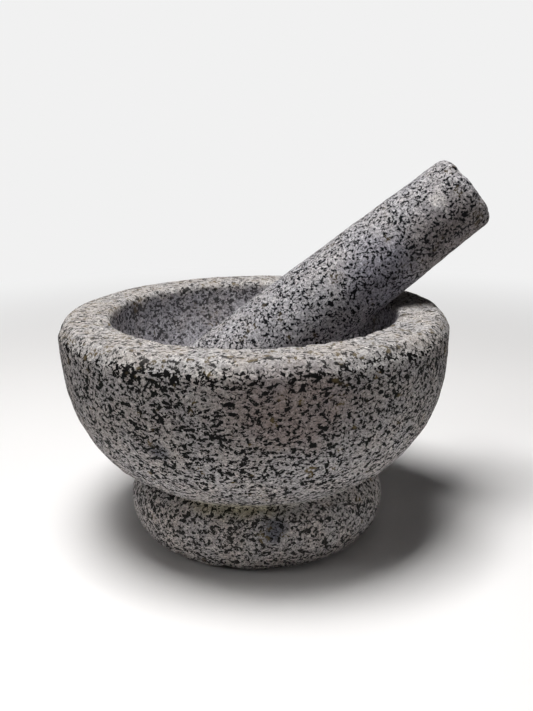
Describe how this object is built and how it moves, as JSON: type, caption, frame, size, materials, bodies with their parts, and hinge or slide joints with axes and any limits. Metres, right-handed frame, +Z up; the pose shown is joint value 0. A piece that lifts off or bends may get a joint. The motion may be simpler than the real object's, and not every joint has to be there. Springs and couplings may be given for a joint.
{
  "type": "molcajete",
  "caption": "Granite mortar with a thick-rimmed round bowl on a bulging ring foot, and a loose tapered round pestle leaning in the bowl.",
  "frame": {"origin": "middle of the mortar's flat underside, on the surface that it stands on", "axes": "+Z up along the mortar's axis, +X towards the side where the pestle's handle rises out of the bowl, -Y towards the front"},
  "size_m": [0.2259, 0.203, 0.1942],
  "materials": {
    "mortar_granite": "rough hand-dressed speckled grey granite",
    "pestle_granite": "rough hand-dressed speckled grey granite, slightly finer grain"
  },
  "bodies": {
    "mortar": {"mortar": "mortar_granite"},
    "pestle": {"pestle": "pestle_granite"}
  },
  "joints": [
    {"name": "pestle_lift", "type": "slide", "parent": "mortar", "child": "pestle", "axis": [0, 0, 1], "range_m": [0, 0.1]}
  ]
}
